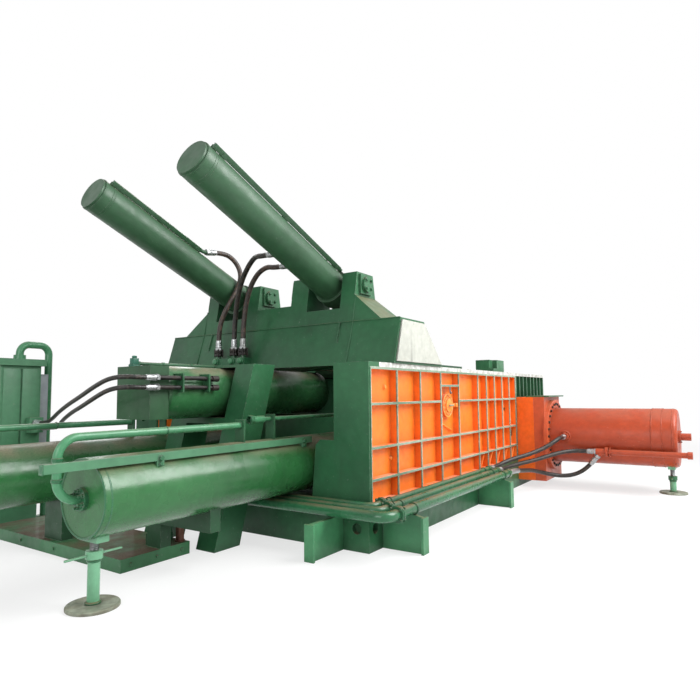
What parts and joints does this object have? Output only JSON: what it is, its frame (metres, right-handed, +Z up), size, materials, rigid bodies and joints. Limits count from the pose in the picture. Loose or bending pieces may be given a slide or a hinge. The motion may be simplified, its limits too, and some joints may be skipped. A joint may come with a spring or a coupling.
{
  "type": "recycling baler",
  "caption": "Hydraulic scrap metal baler with a ribbed press box, hinged lid under two leaning cylinders, main press cylinders behind and a side cylinder.",
  "frame": {"origin": "floor level, middle plane of the press box, at the near end of its ribbed walls", "axes": "+X is the main press direction, +Z up, -Y the side of the side cylinder"},
  "size_m": [9.25, 8.08, 3.9869],
  "materials": {
    "green_paint": "green machine enamel with dust and chips",
    "orange_paint": "bright orange enamel with worn rib edges",
    "red_paint": "red-orange enamel with dust",
    "white_plate": "dirty off-white plate",
    "bare_steel": "pale scuffed bare steel",
    "dark_steel": "dark oily steel",
    "rod_chrome": "ground chrome",
    "hose_rubber": "black hydraulic hose",
    "ferrule_zinc": "bright plated ferrules",
    "grey_box": "grey enamel"
  },
  "bodies": {
    "frame": {"base_beams": "green_paint", "base_pipes": "green_paint", "cylinder_seats": "green_paint", "cylinder_yoke": "green_paint", "end_block": "green_paint", "end_posts": "green_paint", "far_side_wall": "orange_paint", "feed_pipes": "green_paint", "floor_plate": "bare_steel", "gantry": "green_paint", "gantry_end_plates": "white_plate", "gate_frame": "green_paint", "guard_rail": "green_paint", "hinge_beam": "green_paint", "hose_ferrules": "ferrule_zinc", "hose_manifold": "green_paint", "lid_hose_1": "hose_rubber", "lid_hose_2": "hose_rubber", "lid_hose_3": "hose_rubber", "lid_stop": "green_paint", "low_press_cylinders": "green_paint", "near_side_wall": "orange_paint", "oil_tank": "green_paint", "outriggers": "green_paint", "pipe_clamps": "green_paint", "pipe_flanges": "green_paint", "platform": "green_paint", "roof_block": "green_paint", "screw_stands": "green_paint", "side_box": "orange_paint", "side_cylinder": "red_paint", "side_hose_1": "hose_rubber", "side_hose_2": "hose_rubber", "side_hose_3": "hose_rubber", "side_pipes": "red_paint", "side_seat": "red_paint", "side_seat_bolts": "dark_steel", "side_seat_plate": "green_paint", "supply_hose_1": "hose_rubber", "supply_hose_2": "hose_rubber", "switch_box": "grey_box", "tank_pipe": "green_paint", "top_rails": "bare_steel", "upper_lines": "dark_steel", "upper_press_cylinder": "green_paint"},
    "lid": {"lid_panel": "green_paint", "lid_fittings": "green_paint"},
    "near_lid_barrel": {"near_lid_barrel": "green_paint", "near_lid_pipe": "green_paint"},
    "far_lid_barrel": {"far_lid_barrel": "green_paint", "far_lid_pipe": "green_paint"},
    "near_lid_rod": {"near_lid_rod": "rod_chrome"},
    "far_lid_rod": {"far_lid_rod": "rod_chrome"},
    "main_ram": {"main_ram": "dark_steel", "main_rods": "rod_chrome"},
    "side_ram": {"side_ram": "dark_steel", "side_rod": "rod_chrome"},
    "gate": {"gate": "green_paint"},
    "near_stand_nut": {"near_stand_nut": "green_paint"},
    "side_stand_nut": {"side_stand_nut": "green_paint"}
  },
  "joints": [
    {"name": "lid_hinge", "type": "hinge", "parent": "frame", "child": "lid", "pos_m": [1.65, 0, 1.96], "axis": [0, -1, 0], "range_deg": [0, 60]},
    {"name": "near_barrel_tilt", "type": "hinge", "parent": "frame", "child": "near_lid_barrel", "pos_m": [0.89, -0.813, 2.895], "axis": [0, -1, 0], "range_deg": [-0.5, 34.5], "deforming": ["lid_hose_2", "lid_hose_3"]},
    {"name": "near_rod_slide", "type": "slide", "parent": "near_lid_barrel", "child": "near_lid_rod", "axis": [0.9287, 0, -0.3707], "range_m": [-0.9, 0.005]},
    {"name": "far_barrel_tilt", "type": "hinge", "parent": "frame", "child": "far_lid_barrel", "pos_m": [0.89, 0.813, 2.895], "axis": [0, -1, 0], "range_deg": [-0.5, 34.5], "deforming": ["lid_hose_1"]},
    {"name": "far_rod_slide", "type": "slide", "parent": "far_lid_barrel", "child": "far_lid_rod", "axis": [0.9287, 0, -0.3707], "range_m": [-0.9, 0.005]},
    {"name": "main_ram_slide", "type": "slide", "parent": "frame", "child": "main_ram", "axis": [1, 0, 0], "range_m": [0, 2.43]},
    {"name": "side_ram_slide", "type": "slide", "parent": "frame", "child": "side_ram", "axis": [0, 1, 0], "range_m": [0, 1.87]},
    {"name": "gate_slide", "type": "slide", "parent": "frame", "child": "gate", "axis": [-1, 0, 0], "range_m": [0, 0.79]},
    {"name": "near_stand_nut_turn", "type": "hinge", "parent": "frame", "child": "near_stand_nut", "pos_m": [-2.325, -0.881, 0.385], "axis": [0, 0, 1], "continuous": true},
    {"name": "side_stand_nut_turn", "type": "hinge", "parent": "frame", "child": "side_stand_nut", "pos_m": [5.2, -4.12, 0.235], "axis": [0, 0, 1], "continuous": true}
  ],
  "couplings": [
    {"joint": "near_barrel_tilt", "follows": "lid_hinge", "ratio": 0.55984},
    {"joint": "near_rod_slide", "follows": "lid_hinge", "m_per_rad": -0.84915},
    {"joint": "far_barrel_tilt", "follows": "lid_hinge", "ratio": 0.55984},
    {"joint": "far_rod_slide", "follows": "lid_hinge", "m_per_rad": -0.84915}
  ]
}
